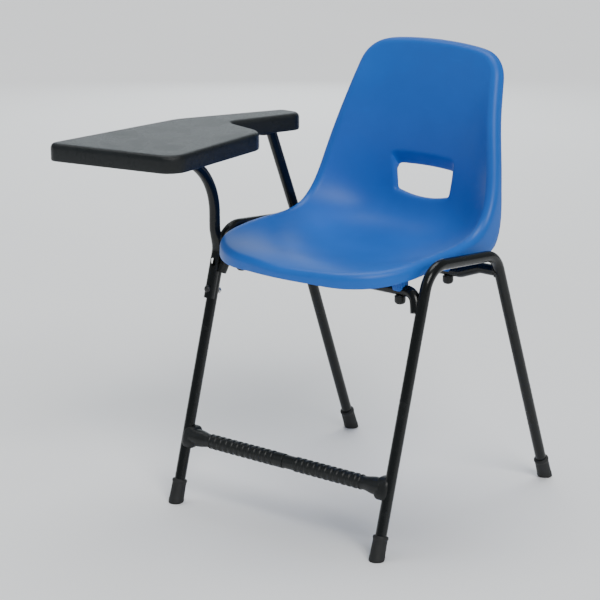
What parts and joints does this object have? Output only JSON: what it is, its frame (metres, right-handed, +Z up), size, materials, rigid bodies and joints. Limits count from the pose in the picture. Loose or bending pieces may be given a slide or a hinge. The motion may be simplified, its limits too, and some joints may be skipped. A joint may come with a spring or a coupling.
{
  "type": "student desk chair",
  "caption": "One-piece moulded bucket chair with a slot in its back, on a splayed tube frame with a front stretcher and a side writing tablet on two arms.",
  "frame": {"origin": "on the floor, at the middle of the rectangle that the whole object covers (tablet included)", "axes": "+Z up, -Y the way the sitter faces, +X to the sitter's left; the tablet is on the -X side"},
  "size_m": [0.5902, 0.6762, 0.7754],
  "materials": {
    "frame_enamel": "black baked enamel, glossy, on bent steel tube",
    "ferrule_rubber": "moulded black rubber, satin",
    "sleeve_plastic": "moulded black plastic, matt",
    "shell_plastic": "blue moulded polypropylene, fine satin grain",
    "insert_brass": "moulded-in threaded brass insert",
    "bolt_steel": "zinc plated steel",
    "tablet_plastic": "near-black moulded board, fine leather grain, soft sheen",
    "base_plastic": "black moulded underside panel",
    "screw_steel": "zinc plated self-tapping screw",
    "bolt_black": "black domed bolt head"
  },
  "bodies": {
    "root": {"side_frame_left": "frame_enamel", "side_frame_right": "frame_enamel", "foot_front_left": "ferrule_rubber", "foot_front_right": "ferrule_rubber", "foot_rear_left": "ferrule_rubber", "foot_rear_right": "ferrule_rubber", "front_crossmember": "frame_enamel", "rear_crossmember": "frame_enamel", "stretcher_tube": "frame_enamel", "stretcher_sleeve_left": "sleeve_plastic", "stretcher_sleeve_right": "sleeve_plastic", "seat_shell": "shell_plastic", "seat_inserts": "insert_brass", "seat_bolts": "bolt_steel", "seat_washers": "bolt_black", "seat_bolt_caps": "sleeve_plastic", "tablet_top": "tablet_plastic", "tablet_base": "base_plastic", "front_arm": "frame_enamel", "rear_arm": "frame_enamel", "front_arm_plug": "sleeve_plastic", "rear_arm_plate": "frame_enamel", "arm_clamp_front": "frame_enamel", "arm_clamp_rear": "frame_enamel", "clamp_screws": "screw_steel", "plate_screws": "screw_steel", "base_screws": "screw_steel", "arm_bolts": "bolt_black", "arm_washers": "bolt_steel", "arm_nuts": "bolt_steel"}
  },
  "joints": []
}
